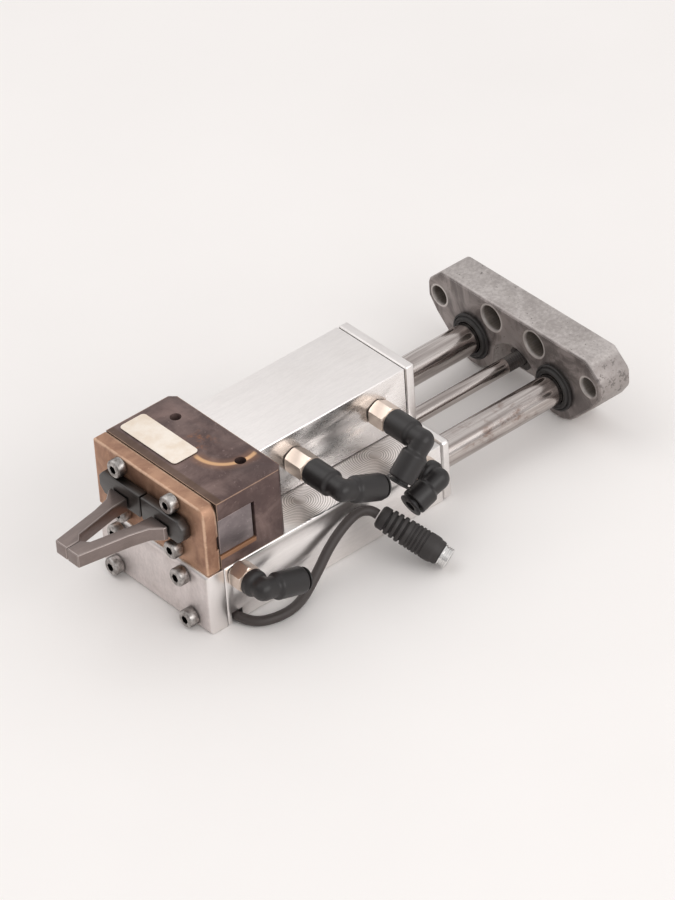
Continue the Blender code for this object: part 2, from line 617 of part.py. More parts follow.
CABLE_POINTS = [
    (SENSOR_X, -22.2, 2.35), (SENSOR_X, -26.0, 2.3), (SENSOR_X + 0.1, -30.0, 2.1), (SENSOR_X + 1.2, -34.0, 2.0),
    (-40.4, -37.4, 1.95), (-36.2, -39.6, 1.95), (-31.0, -40.5, 1.95), (-25.5, -40.0, 2.0), (-20.0, -38.2, 2.6),
    (-14.6, -36.2, 4.6), (-9.6, -34.8, 7.8), (-5.2, -34.0, 11.7), (-0.4, -33.5, 15.2), (4.0, -33.2, 17.6),
    (7.8, -33.0, 18.9), (11.2, -32.9, 19.1), (13.9, -33.5, 18.5), (15.6, -34.7, 17.7), (16.4, -36.2, 16.85),
]


def smooth_route(points, steps):
    """A Catmull-Rom curve through the points."""
    points = [Vector(p) for p in points]
    ends = [2 * points[0] - points[1]] + points + [2 * points[-1] - points[-2]]
    route = []
    for i in range(1, len(ends) - 2):
        a, b, c, d = ends[i - 1], ends[i], ends[i + 1], ends[i + 2]
        for step in range(steps):
            t = step / steps
            route.append(0.5 * (2 * b + (c - a) * t + (2 * a - 5 * b + 4 * c - d) * t ** 2
                                + (3 * b - a - 3 * c + d) * t ** 3))
    route.append(points[-1])
    return route


def cable():
    curve = bpy.data.curves.new("sensor_cable", "CURVE")
    curve.dimensions = "3D"
    curve.bevel_depth = CABLE_R * MM
    curve.bevel_resolution = 2
    curve.use_fill_caps = True
    route = smooth_route(CABLE_POINTS, 2)
    spline = curve.splines.new("POLY")
    spline.points.add(len(route) - 1)
    for point, place in zip(spline.points, route):
        point.co = (*(place * MM), 1.0)
    obj = bpy.data.objects.new("sensor_cable", curve)
    MODEL.objects.link(obj)
    curve.materials.append(RUBBER)
    return obj


def sensor():
    made = box("proximity_sensor", (SENSOR_X - 2.0, -21.9, 0.2), (SENSOR_X + 2.0, -5.0, 4.3), PLASTIC)
    return bake(chamfer(made, 0.4))


def plug_body_profile(length):
    """A moulded plug: a ribbed sleeve at the cable's end and a plain grip at the front, top to bottom."""
    profile = [(0, length), (4.2, length), (4.9, length - 0.7), (5.0, length - 6.5)]
    ribs = 6
    pitch = 2.1
    top = length - 7.2
    for rib in range(ribs):
        z = top - rib * pitch
        swell = 5.0 - 0.08 * rib
        profile += [(swell, z), (swell, z - 1.1), (swell - 0.7, z - 1.5)]
    foot = top - ribs * pitch
    profile += [(4.3, foot), (4.1, 1.0), (3.5, 0), (0, 0)]
    return profile


def connector():
    axis = (PLUG_TIP - PLUG_REAR).normalized()
    length = (PLUG_TIP - PLUG_REAR).length
    body = lathe("connector_body", plug_body_profile(length), PLUG_REAR, axis, RUBBER, 22)
    nose = PLUG_REAR + axis * length
    pocket = holes("connector_pocket", 3.2, [(nose - axis * 3.0, nose + axis * 1.0)], 28)
    bake(cut(body, pocket))
    lathe("connector_ring", [(2.9, 3.4), (3.9, 3.4), (3.9, 2.4), (3.5, 2.1), (3.5, 1.4), (4.0, 1.1), (4.0, 0.3), (2.9, 0.3)],
          nose, axis, NICKEL, closed=True)
    insert = lathe("connector_insert", [(0, 0.6), (2.6, 0.6), (2.6, -2.7), (0, -2.7)], nose, axis, PLASTIC, 24)
    across = axis.cross(Vector((0, 0, 1))).normalized()
    upward = across.cross(axis)
    spots = [nose + across * (1.25 * math.cos(t)) + upward * (1.25 * math.sin(t))
             for t in (math.radians(90), math.radians(210), math.radians(330))]
    bake(cut(insert, holes("pin_holes", 0.65, [(p - axis * 1.2, p + axis * 1.5) for p in spots], 12)))
    for number, spot in enumerate(spots, 1):
        rods("connector_pin_%d" % number, 0.4, [(spot - axis * 0.9, spot + axis * 2.9)], 12, CONTACT)


# ---------------------------------------------------------------- assembly

def build():
    stroke_body()
    front_cover()
    rear_cover()
    stroke_unit_trim()
    upper_body()
    upper_cap()
    gripper_plate()
    gripper_housing()
    gripper_side_cover()
    label()
    for number, (y, z) in enumerate(HEAD_SCREWS, 1):
        cap_screw("head_screw_%d" % number, (PLATE_X0, y, z), (-1, 0, 0), 13.0)
    for side in (-1, 1):
        carrier = jaw(side)
        attach(finger(side), carrier)
    push = wedge()
    jaw_piston = piston("jaw_piston", (2.0, 0, JAW_BORE_Z), JAW_BORE_R - GAP, 9.0, ALUMINIUM)
    attach(bake(jaw_piston), push)
    attach(seal("jaw_piston_seal", (5.5, 0, JAW_BORE_Z), JAW_BORE_R - GAP), push)
    carriage()
    fittings()
    sensor()
    cable()
    connector()


build()
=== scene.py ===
"""The looks of the pneumatic gripper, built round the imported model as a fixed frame.

Sizes are in millimetres in the model's frame and are scaled by MM where a mesh is made.
"""

import math

import bmesh
import bpy
from mathutils import Matrix, Vector


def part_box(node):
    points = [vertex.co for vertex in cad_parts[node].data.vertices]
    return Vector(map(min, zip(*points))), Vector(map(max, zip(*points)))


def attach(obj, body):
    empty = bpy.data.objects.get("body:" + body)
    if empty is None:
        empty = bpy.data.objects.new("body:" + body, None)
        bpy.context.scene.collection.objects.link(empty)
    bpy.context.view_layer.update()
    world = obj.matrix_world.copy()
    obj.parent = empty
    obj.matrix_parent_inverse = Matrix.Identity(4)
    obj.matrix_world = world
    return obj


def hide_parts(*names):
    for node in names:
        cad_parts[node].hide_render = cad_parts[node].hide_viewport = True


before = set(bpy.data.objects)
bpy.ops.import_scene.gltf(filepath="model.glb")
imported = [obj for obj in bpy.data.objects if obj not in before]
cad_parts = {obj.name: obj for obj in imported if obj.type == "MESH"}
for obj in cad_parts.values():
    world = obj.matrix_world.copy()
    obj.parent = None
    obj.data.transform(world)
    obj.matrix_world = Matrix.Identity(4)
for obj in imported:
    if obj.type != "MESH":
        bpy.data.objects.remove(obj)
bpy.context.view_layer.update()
MM = 0.001


# ---------------------------------------------------------------- camera, light and floor

def make_camera():
    """The photograph's viewpoint: a long lens, 38 degrees to the left of the side view and 37 above."""
    azimuth, elevation, roll = math.radians(-38.24), math.radians(37.24), math.radians(-4.15)
    back = Vector((math.sin(azimuth) * math.cos(elevation), -math.cos(azimuth) * math.cos(elevation),
                   math.sin(elevation)))
    right = Vector((0, 0, 1)).cross(back).normalized()
    up = back.cross(right)
    across = math.cos(roll) * right + math.sin(roll) * up
    upward = -math.sin(roll) * right + math.cos(roll) * up
    data = bpy.data.cameras.new("camera")
    camera = bpy.data.objects.new("camera", data)
    bpy.context.scene.collection.objects.link(camera)
    place = Matrix((across, upward, back)).transposed().to_4x4()
    place.translation = Vector((-0.93535, -1.2238, 1.2033))
    camera.matrix_world = place
    data.sensor_width = 36
    data.lens = 219.96
    data.clip_end = 20
    bpy.context.scene.camera = camera


def area_light(name, at, towards, size, power, colour=(1, 1, 1)):
    data = bpy.data.lights.new(name, "AREA")
    data.shape = "RECTANGLE"
    data.size, data.size_y = size
    data.energy = power
    data.color = colour
    lamp = bpy.data.objects.new(name, data)
    bpy.context.scene.collection.objects.link(lamp)
    lamp.location = at
    lamp.rotation_mode = "QUATERNION"
    lamp.rotation_quaternion = (Vector(towards) - Vector(at)).to_track_quat("-Z", "Y")


def make_studio():
    world = bpy.data.worlds.new("studio")
    world.use_nodes = True
    bpy.context.scene.world = world
    tree = world.node_tree
    sky = tree.nodes["Background"]
    coords = tree.nodes.new("ShaderNodeTexCoord")
    split = tree.nodes.new("ShaderNodeSeparateXYZ")
    height = tree.nodes.new("ShaderNodeMapRange")
    for key, number in (("From Min", 0.0), ("From Max", 0.5), ("To Min", 0.74), ("To Max", 1.0)):
        height.inputs[key].default_value = number
    ahead = tree.nodes.new("ShaderNodeMapRange")
    for key, number in (("From Min", -0.95), ("From Max", -0.35), ("To Min", 0.62), ("To Max", 1.0)):
        ahead.inputs[key].default_value = number
    ramp = tree.nodes.new("ShaderNodeMath")
    ramp.operation = "MULTIPLY"
    tint = tree.nodes.new("ShaderNodeMix")
    tint.data_type = "RGBA"
    tint.inputs[6].default_value = (0, 0, 0, 1)
    tint.inputs[7].default_value = (1.0, 0.985, 0.98, 1)
    tree.links.new(coords.outputs["Generated"], split.inputs[0])
    tree.links.new(split.outputs["Z"], height.inputs["Value"])
    tree.links.new(split.outputs["X"], ahead.inputs["Value"])
    tree.links.new(height.outputs["Result"], ramp.inputs[0])
    tree.links.new(ahead.outputs["Result"], ramp.inputs[1])
    tree.links.new(ramp.outputs[0], tint.inputs[0])
    tree.links.new(tint.outputs[2], sky.inputs["Color"])
    sky.inputs["Strength"].default_value = 0.84
    area_light("key", (-0.35, 0.75, 1.15), (0, 0, 0.02), (1.2, 1.0), 3.4, (1.0, 0.985, 0.97))
    area_light("fill", (0.1, -1.3, 0.8), (0, 0, 0.02), (1.6, 0.8), 8.0, (1.0, 0.985, 0.975))
    bpy.context.scene.view_settings.view_transform = "Standard"
    floor_mesh = bpy.data.meshes.new("floor")
    bm = bmesh.new()
    bmesh.ops.create_grid(bm, x_segments=1, y_segments=1, size=4)
    bm.to_mesh(floor_mesh)
    bm.free()
    floor = bpy.data.objects.new("floor", floor_mesh)
    bpy.context.scene.collection.objects.link(floor)
    floor.location = (0, 0, -0.0002)
    look = Look("pale_table", (244, 239, 236), 0.0, 0.6)
    blot = look.noise(9, 3)
    look.colour(look.mix(blot, rgb(247, 244, 242), rgb(241, 238, 236)))
    floor_mesh.materials.append(look.material)


# ---------------------------------------------------------------- procedural materials

def rgb(red, green, blue):
    """Display values from 0 to 255 as linear light."""
    made = []
    for value in (red, green, blue):
        value /= 255
        made.append(value / 12.92 if value <= 0.04045 else ((value + 0.055) / 1.055) ** 2.4)
    return (*made, 1.0)


class Look:
    """A Principled material whose colour, roughness and bump come from nodes."""

    def __init__(self, name, display, metallic, roughness, **constants):
        self.material = bpy.data.materials.new(name)
        self.material.use_nodes = True
        self.tree = self.material.node_tree
        self.shader = self.tree.nodes["Principled BSDF"]
        self.shader.inputs["Base Color"].default_value = rgb(*display)
        self.shader.inputs["Metallic"].default_value = metallic
        self.shader.inputs["Roughness"].default_value = roughness
        for key, value in constants.items():
            self.shader.inputs[key.replace("_", " ")].default_value = value
        self.coords = self.node("ShaderNodeTexCoord").outputs["Object"]
        self.bump_end = None

    def node(self, kind, **settings):
        made = self.tree.nodes.new(kind)
        for key, value in settings.items():
            setattr(made, key, value)
        return made

    def put(self, socket, value):
        if isinstance(value, bpy.types.NodeSocket):
            self.tree.links.new(value, socket)
        else:
            socket.default_value = value

    def place(self, at=(0, 0, 0), stretch=(1, 1, 1), turn=(0, 0, 0)):
        """Coordinates seen from `at` (in mm), stretched and turned."""
        shift = self.node("ShaderNodeVectorMath", operation="SUBTRACT")
        self.put(shift.inputs[0], self.coords)
        shift.inputs[1].default_value = Vector(at) * MM
        mapping = self.node("ShaderNodeMapping")
        self.put(mapping.inputs["Vector"], shift.outputs[0])
        mapping.inputs["Rotation"].default_value = turn
        mapping.inputs["Scale"].default_value = stretch
        return mapping.outputs[0]

    def noise(self, scale, detail=4, rough=0.55, stretch=(1, 1, 1), at=(0, 0, 0), distort=0.0, turn=(0, 0, 0)):
        made = self.node("ShaderNodeTexNoise")
        self.put(made.inputs["Vector"], self.place(at, stretch, turn))
        made.inputs["Scale"].default_value = scale
        made.inputs["Detail"].default_value = detail
        made.inputs["Roughness"].default_value = rough
        made.inputs["Distortion"].default_value = distort
        return made.outputs["Fac"]

    def math(self, what, a, b=0.0, c=None, clamp=False):
        made = self.node("ShaderNodeMath", operation=what, use_clamp=clamp)
        self.put(made.inputs[0], a)
        self.put(made.inputs[1], b)
        if c is not None:
            self.put(made.inputs[2], c)
        return made.outputs[0]

    def step(self, value, low, high, out_low=0.0, out_high=1.0):
        made = self.node("ShaderNodeMapRange", interpolation_type="SMOOTHSTEP")
        self.put(made.inputs["Value"], value)
        for key, number in (("From Min", low), ("From Max", high), ("To Min", out_low), ("To Max", out_high)):
            made.inputs[key].default_value = number
        return made.outputs["Result"]

    def mix(self, share, a, b):
        made = self.node("ShaderNodeMix", data_type="RGBA")
        self.put(made.inputs[0], share)
        self.put(made.inputs[6], a)
        self.put(made.inputs[7], b)
        return made.outputs[2]

    def axis(self, name):
        split = self.node("ShaderNodeSeparateXYZ")
        self.put(split.inputs[0], self.coords)
        return self.math("MULTIPLY", split.outputs[name], 1000.0)

    def radius(self, at, flat=True):
        """Distance from a point in mm, or from the upright line through it."""
        mask = (1, 1, 0) if flat else (1, 1, 1)
        length = self.node("ShaderNodeVectorMath", operation="LENGTH")
        self.put(length.inputs[0], self.place(at, mask))
        return self.math("MULTIPLY", length.outputs["Value"], 1000.0)

    def bore(self, y, z):
        """Distance in mm from a line along X."""
        length = self.node("ShaderNodeVectorMath", operation="LENGTH")
        self.put(length.inputs[0], self.place((0, y, z), (0, 1, 1)))
        return self.math("MULTIPLY", length.outputs["Value"], 1000.0)

    def colour(self, value):
        self.put(self.shader.inputs["Base Color"], value)

    def roughness(self, value):
        self.put(self.shader.inputs["Roughness"], value)

    def bump(self, height, depth, strength=1.0):
        """Adds relief `depth` mm deep, on top of any there is."""
        made = self.node("ShaderNodeBump")
        made.inputs["Strength"].default_value = strength
        made.inputs["Distance"].default_value = depth * MM
        self.put(made.inputs["Height"], height)
        if self.bump_end:
            self.put(made.inputs["Normal"], self.bump_end)
        self.bump_end = made.outputs[0]
        self.put(self.shader.inputs["Normal"], self.bump_end)

    def edge(self, low, high, wide, ragged=0.5):
        """1 on the edges of a block between two corners (mm), fading out over `wide` mm, with ragged noise."""
        inset = []
        for index, name in enumerate("XYZ"):
            centre, half = (low[index] + high[index]) / 2, (high[index] - low[index]) / 2
            away = self.math("ABSOLUTE", self.math("SUBTRACT", self.axis(name), centre))
            inset.append(self.math("SUBTRACT", half, away))
        lesser = self.math("MINIMUM", inset[0], inset[1])
        greater = self.math("MAXIMUM", inset[0], inset[1])
        second = self.math("MAXIMUM", lesser, self.math("MINIMUM", greater, inset[2]))
        worn = self.math("MULTIPLY", self.math("SUBTRACT", self.noise(420, 5, 0.7), 0.5), 2.6 * ragged * wide)
        return self.step(self.math("ADD", second, worn), wide, 0.15 * wide)


def stretched(along, much):
    return tuple(1.0 if name == along else much for name in "XYZ")


def brushed(name, display, roughness, along="X", grain=0.08, blot=0.06, much=22.0, depth=0.002, scale=60, **constants):
    """Metal with fine lines along one axis and soft stains."""
    look = Look(name, display, 1.0, roughness, **constants)
    lines = look.noise(scale, 5, 0.65, stretched(along, much))
    fine = look.noise(scale * 4, 3, 0.6, stretched(along, much))
    stain = look.noise(55, 4, 0.6, at=(3, 7, 1))
    base = Vector(rgb(*display)[:3])
    dark = (*(base * (1 - 2.2 * grain)), 1)
    light = (*[min(1.0, c * (1 + 1.2 * grain)) for c in base], 1)
    share = look.step(look.math("ADD", look.math("MULTIPLY", lines, 0.6), look.math("MULTIPLY", fine, 0.4)), 0.36, 0.64)
    tone = look.mix(share, dark, light)
    stained = look.mix(look.step(stain, 0.45, 0.75, 0.0, 1.0), (1, 1, 1, 1), (1 - blot * 2, 1 - blot * 2.1, 1 - blot * 2.3, 1))
    multiply = look.node("ShaderNodeMix", data_type="RGBA", blend_type="MULTIPLY")
    multiply.inputs[0].default_value = 1.0
    look.put(multiply.inputs[6], tone)
    look.put(multiply.inputs[7], stained)
    look.tone = multiply.outputs[2]
    look.colour(look.tone)
    look.rough = look.math("ADD", roughness - 0.08, look.math("MULTIPLY", look.math("ADD", fine, stain), 0.08))
    look.roughness(look.rough)
    look.bump(look.math("ADD", lines, fine), depth)
    return look


def moulded(name, display, roughness, depth=0.006, scale=1600, dust=0.25, **constants):
    """Black plastic or rubber with fine grain and a little dust."""
    look = Look(name, display, 0.0, roughness, **constants)
    grain = look.noise(scale, 3, 0.6)
    soft = look.noise(140, 4, 0.65)
    base = Vector(rgb(*display)[:3])
    pale = (*[min(1.0, c + 0.035 * dust * 4) for c in base], 1)
    look.colour(look.mix(look.step(soft, 0.5, 0.85, 0.0, dust), (*base, 1), pale))
    look.roughness(look.math("ADD", roughness - 0.1, look.math("MULTIPLY", look.math("ADD", grain, soft), 0.1)))
    look.bump(grain, depth)
    return look


# ---------------------------------------------------------------- mesh building

def link(name, mesh, look=None):
    obj = bpy.data.objects.new(name, mesh)
    bpy.context.scene.collection.objects.link(obj)
    if look:
        mesh.materials.append(look.material)
    return obj


def finish_mesh(bm, name):
    bmesh.ops.recalc_face_normals(bm, faces=bm.faces)
    mesh = bpy.data.meshes.new(name)
    bm.to_mesh(mesh)
    bm.free()
    return mesh


def smooth(obj, angle=35):
    obj.data.shade_smooth()
    obj.data.set_sharp_from_angle(angle=math.radians(angle))
    return obj


def refine(node, look, width=0.18, segments=2, body="base", angle=28, rim=None):
    """A piece with a CAD node's shape, its edges rounded and, with `rim`, given another look on the rounded edges."""
    bm = bmesh.new()
    bm.from_mesh(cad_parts[node].data)
    bmesh.ops.remove_doubles(bm, verts=bm.verts, dist=0.000004)
    bmesh.ops.dissolve_limit(bm, angle_limit=math.radians(0.6), verts=bm.verts, edges=bm.edges)
    sharp = [e for e in bm.edges if e.is_manifold and e.calc_face_angle(0) > math.radians(angle)]
    if width:
        bmesh.ops.bevel(bm, geom=sharp, offset=width * MM, segments=segments, profile=0.5, affect="EDGES",
                        clamp_overlap=True, harden_normals=False, material=1 if rim else -1)
    made = link(node + "_shell", finish_mesh(bm, node), look)
    if rim:
        made.data.materials.append(rim.material)
    return stand_for(smooth(made), body, node)


def paint_seam_shade(obj, node, look, *ways):
    """Paints shade on the faces that meet a neighbour at one end of a block, where no light gets in, by giving them a
    dark material.
    """
    low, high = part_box(node)
    obj.data.materials.append(look.material)
    last = len(obj.data.materials) - 1
    for face in obj.data.polygons:
        for way in ways:
            reach = face.center.x - (high.x if way > 0 else low.x)
            if face.normal.x * way > 0.8 and abs(reach) < 0.12 * MM:
                face.material_index = last


def meet(obj, node, by):
    """Carries the rear of a plate back until it all but touches its neighbour, which squeezes its rear edge."""
    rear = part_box(node)[1].x
    for vert in obj.data.vertices:
        inset = rear - vert.co.x
        if inset < 0.2 * MM:
            vert.co.x = rear + by * MM - 0.25 * inset
    return obj


def turn_to(direction):
    return Vector((0, 0, 1)).rotation_difference(Vector(direction).normalized()).to_matrix().to_4x4()


def bake(obj):
    """Turns the modifiers into plain mesh."""
    bpy.context.view_layer.update()
    graph = bpy.context.evaluated_depsgraph_get()
    mesh = bpy.data.meshes.new_from_object(obj.evaluated_get(graph))
    obj.modifiers.clear()
    obj.data = mesh
    return obj


def rods(name, radius, spans, sides=48, look=None):
    bm = bmesh.new()
    for start, end in spans:
        start, end = Vector(start), Vector(end)
        place = Matrix.Translation((start + end) / 2 * MM) @ turn_to(end - start)
        bmesh.ops.create_cone(bm, cap_ends=True, segments=sides, radius1=radius * MM, radius2=radius * MM,
                              depth=(end - start).length * MM, matrix=place)
    return link(name, finish_mesh(bm, name), look)


def lathe(name, profile, at, axis, look=None, sides=64, closed=False):
    """A turned piece whose (radius, height) pairs run from top to bottom on the outside."""
    mesh = bpy.data.meshes.new(name)
    edges = [(i, i + 1) for i in range(len(profile) - 1)]
    if closed:
        edges.append((len(profile) - 1, 0))
    mesh.from_pydata([(r * MM, 0.0, z * MM) for r, z in profile], edges, [])
    obj = link(name, mesh, look)
    screw = obj.modifiers.new("Turn", "SCREW")
    screw.steps = screw.render_steps = sides
    screw.use_merge_vertices = True
    screw.merge_threshold = 0.00001
    bake(obj)
    bm = bmesh.new()
    bm.from_mesh(obj.data)
    bmesh.ops.remove_doubles(bm, verts=bm.verts, dist=0.000001)
    bmesh.ops.recalc_face_normals(bm, faces=bm.faces)
    bm.to_mesh(obj.data)
    bm.free()
    obj.data.transform(Matrix.Translation(Vector(at) * MM) @ turn_to(axis))
    if look and not obj.data.materials:
        obj.data.materials.append(look.material)
    return obj


def boolean(obj, other, operation):
    """Joins or cuts, then takes the other piece away."""
    made = obj.modifiers.new("Shape", "BOOLEAN")
    made.operation = operation
    made.solver = "EXACT"
    made.object = other
    bake(obj)
    bpy.data.objects.remove(other, do_unlink=True)
    return obj


def stand_for(obj, body, *nodes):
    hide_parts(*nodes)
    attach(obj, body)
    return obj


make_camera()


# ---------------------------------------------------------------- cable and plug

CABLE_R = 1.85
SENSOR_X = -44.0
CABLE_POINTS = [
    (SENSOR_X, -22.2, 2.35), (SENSOR_X, -26.0, 2.3), (SENSOR_X + 0.1, -30.0, 2.1), (SENSOR_X + 1.2, -34.0, 2.0),
    (-40.4, -37.4, 1.95), (-36.2, -39.6, 1.95), (-31.0, -40.5, 1.95), (-25.5, -40.0, 2.0), (-20.0, -38.2, 2.6),
    (-14.6, -36.2, 4.6), (-9.6, -34.8, 7.8), (-5.2, -34.0, 11.7), (-0.4, -33.5, 15.2), (4.0, -33.2, 17.6),
    (7.8, -33.0, 18.9), (11.2, -32.9, 19.1), (13.9, -33.5, 18.5), (15.6, -34.7, 17.7), (16.4, -36.2, 16.85),
]
PLUG_REAR = Vector((16.6, -36.6, 16.6))
PLUG_TIP = Vector((26.6, -57.5, 5.4))


def smooth_route(points, steps):
    """A Catmull-Rom curve through the points."""
    points = [Vector(p) for p in points]
    ends = [2 * points[0] - points[1]] + points + [2 * points[-1] - points[-2]]
    route = []
    for i in range(1, len(ends) - 2):
        a, b, c, d = ends[i - 1], ends[i], ends[i + 1], ends[i + 2]
        for step in range(steps):
            t = step / steps
            route.append(0.5 * (2 * b + (c - a) * t + (2 * a - 5 * b + 4 * c - d) * t ** 2
                                + (3 * b - a - 3 * c + d) * t ** 3))
    route.append(points[-1])
    return route


def make_cable(look):
    route = smooth_route(CABLE_POINTS, 5)
    curve = bpy.data.curves.new("cable", "CURVE")
    curve.dimensions = "3D"
    curve.bevel_depth = CABLE_R * MM
    curve.bevel_resolution = 5
    curve.use_fill_caps = True
    spline = curve.splines.new("POLY")
    spline.points.add(len(route) - 1)
    for point, place in zip(spline.points, route):
        point.co = (*(place * MM), 1.0)
    spline.use_smooth = True
    cable = bpy.data.objects.new("cable", curve)
    bpy.context.scene.collection.objects.link(cable)
    curve.materials.append(look.material)
    stand_for(cable, "base", "sensor_cable")


def plug_profile(length):
    """The grip: a plain collar at the front, fine slots, coarse ribs, and a taper that the cable enters."""
    profile = [(0, length), (3.4, length), (4.2, length - 0.25), (4.45, length - 0.8), (4.5, length - 2.0),
               (4.85, length - 2.6), (4.98, length - 3.2), (5.0, length - 5.4)]
    z = length - 5.9
    for slot in range(5):
        profile += [(4.98, z), (4.96, z - 0.8), (4.62, z - 0.95), (4.62, z - 1.25)]
        z -= 1.5
    for rib in range(4):
        swell = 4.9 - 0.08 * rib
        profile += [(swell - 0.15, z), (swell, z - 0.3), (swell, z - 1.15), (swell - 0.2, z - 1.45),
                    (swell - 1.0, z - 1.6), (swell - 1.05, z - 2.05)]
        z -= 2.25
    return profile + [(4.3, z), (4.3, 1.2), (4.05, 0.6), (3.4, 0.1), (2.6, 0), (0, 0)]


def make_plug(grip, metal, insert, gold):
    axis = (PLUG_TIP - PLUG_REAR).normalized()
    length = (PLUG_TIP - PLUG_REAR).length
    nose = PLUG_TIP
    body = lathe("plug_grip", plug_profile(length), PLUG_REAR, axis, grip, 56)
    boolean(body, rods("cutter", 3.0, [(nose - axis * 3.0, nose + axis)]), "DIFFERENCE")
    smooth(body, 30)
    ring = [(2.85, 3.4), (3.5, 3.4), (3.7, 3.25)]
    for turn in range(3):
        z = 3.1 - turn * 0.75
        ring += [(3.95, z), (3.95, z - 0.3), (3.6, z - 0.45), (3.6, z - 0.6)]
    ring += [(3.6, 0.75), (4.0, 0.6), (4.0, 0.05), (2.85, 0.05)]
    sleeve = smooth(lathe("plug_sleeve", ring, nose, axis, metal, 48, closed=True), 30)
    stand_for(body, "base", "connector_body")
    stand_for(sleeve, "base", "connector_ring")
    dress(insert, "connector_insert")
    dress(gold, "connector_pin_1", "connector_pin_2", "connector_pin_3")
    return [body, sleeve] + [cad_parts[n] for n in ("connector_insert", "connector_pin_1", "connector_pin_2",
                                                          "connector_pin_3")]


def dress(look, *nodes):
    """Gives carried-over CAD nodes a material."""
    for node in nodes:
        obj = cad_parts[node]
        for slot in obj.material_slots:
            slot.material = look.material


# ---------------------------------------------------------------- materials of this object

def milled_block():
    """The upper block: fine matt grain on top, and a side that is smooth enough to mirror the fittings."""
    look = brushed("upper_block_metal", (246, 242, 240), 0.40, "X", grain=0.018, blot=0.02, much=7, scale=120, depth=0.0007)
    side = look.step(look.axis("Y"), -12.7, -12.86)
    look.roughness(look.math("SUBTRACT", look.rough, look.math("MULTIPLY", side, 0.12)))
    return look


def front_metal():
    """A cloudy cast face with machined, brighter sides."""
    look = brushed("front_cover_metal", (226, 218, 216), 0.52, "Z", grain=0.035, blot=0.12, much=1.5, scale=140)
    side = look.step(look.axis("X"), -55.7, -55.4)
    look.colour(look.mix(look.math("MULTIPLY", side, 0.8), look.tone, rgb(240, 236, 234)))
    look.roughness(look.math("SUBTRACT", look.rough, look.math("MULTIPLY", side, 0.2)))
    return look


def ledge_aluminium():
    """The lower block's metal: brushed along the stroke, with the rings that a milling cutter left on the ledge."""
    look = brushed("milled_ledge", (245, 241, 239), 0.30, "X", grain=0.02, blot=0.03, much=9, scale=100, depth=0.0006)
    rings = None
    for centre in ((-4.25, -19.0, 0), (31.5, -18.1, 0)):
        away = look.radius(centre)
        wobble = look.math("MULTIPLY", look.noise(500, 2), 0.4)
        wave = look.math("SINE", look.math("MULTIPLY", look.math("ADD", away, wobble), 2 * math.pi / 0.86))
        near = look.math("MULTIPLY", look.step(away, 19.0, 7.0), look.step(away, 1.5, 3.0))
        ring = look.math("MULTIPLY", wave, near)
        rings = ring if rings is None else look.math("ADD", rings, ring)
    on_top = look.math("MULTIPLY", look.step(look.axis("Z"), 24.6, 24.8), look.step(look.axis("Y"), -12.7, -13.1))
    rings = look.math("MULTIPLY", rings, on_top)
    share = look.math("ADD", 0.5, look.math("MULTIPLY", rings, 0.5), clamp=True)
    shade = look.mix(share, (0.42, 0.41, 0.40, 1), (1, 1, 1, 1))
    over = look.node("ShaderNodeMix", data_type="RGBA", blend_type="MULTIPLY")
    look.put(over.inputs[0], look.math("MULTIPLY", on_top, 0.9))
    look.put(over.inputs[6], look.tone)
    look.put(over.inputs[7], shade)
    look.colour(over.outputs[2])
    look.bump(rings, 0.03)
    return look


